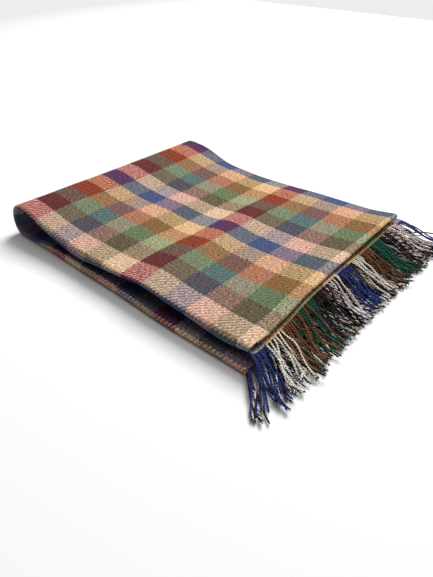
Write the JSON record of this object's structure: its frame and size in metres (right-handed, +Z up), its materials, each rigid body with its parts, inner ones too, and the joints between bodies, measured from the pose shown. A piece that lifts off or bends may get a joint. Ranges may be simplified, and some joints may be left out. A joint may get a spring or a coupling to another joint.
{
  "type": "folded throw blanket",
  "caption": "Woollen throw blanket with woven multicolour checks and a twisted fringe, folded lengthwise and crosswise into a flat stack that opens at the crosswise fold.",
  "frame": {"origin": "middle of the folded throw's footprint, fringe included, on the surface it lies on", "axes": "+X from the crosswise fold towards the fringed ends, +Y from the lengthwise folds towards the open selvedges, +Z up"},
  "size_m": [0.938, 0.816, 0.0852],
  "materials": {
    "woven_cloth": "soft brushed wool in a diagonal twill, woven in checks",
    "fringe_white": "twisted wool yarn",
    "fringe_black": "twisted wool yarn",
    "fringe_green": "twisted wool yarn",
    "fringe_brown": "twisted wool yarn",
    "fringe_cream": "twisted wool yarn",
    "fringe_navy": "twisted wool yarn"
  },
  "bodies": {
    "lower_half": {"lower_bend_edge": "woven_cloth", "lower_inner_bend": "woven_cloth", "lower_inner_fringe_black": "fringe_black", "lower_inner_fringe_brown": "fringe_brown", "lower_inner_fringe_cream": "fringe_cream", "lower_inner_fringe_green": "fringe_green", "lower_inner_fringe_navy": "fringe_navy", "lower_inner_fringe_white": "fringe_white", "lower_inner_layer": "woven_cloth", "lower_outer_bend": "woven_cloth", "lower_outer_fringe_black": "fringe_black", "lower_outer_fringe_brown": "fringe_brown", "lower_outer_fringe_cream": "fringe_cream", "lower_outer_fringe_green": "fringe_green", "lower_outer_fringe_navy": "fringe_navy", "lower_outer_fringe_white": "fringe_white", "lower_outer_layer": "woven_cloth", "lower_side_fold": "woven_cloth"},
    "upper_half": {"upper_bend_edge": "woven_cloth", "upper_end_hem": "woven_cloth", "upper_inner_bend": "woven_cloth", "upper_inner_fringe_black": "fringe_black", "upper_inner_fringe_brown": "fringe_brown", "upper_inner_fringe_cream": "fringe_cream", "upper_inner_fringe_green": "fringe_green", "upper_inner_fringe_navy": "fringe_navy", "upper_inner_fringe_white": "fringe_white", "upper_inner_layer": "woven_cloth", "upper_outer_bend": "woven_cloth", "upper_outer_fringe_black": "fringe_black", "upper_outer_fringe_brown": "fringe_brown", "upper_outer_fringe_cream": "fringe_cream", "upper_outer_fringe_green": "fringe_green", "upper_outer_fringe_navy": "fringe_navy", "upper_outer_fringe_white": "fringe_white", "upper_outer_layer": "woven_cloth", "upper_side_fold": "woven_cloth"}
  },
  "joints": [
    {"name": "cross_fold", "type": "hinge", "parent": "lower_half", "child": "upper_half", "pos_m": [-0.47402, 0, 0.043], "axis": [0, -1, 0], "range_deg": [0, 181]}
  ]
}
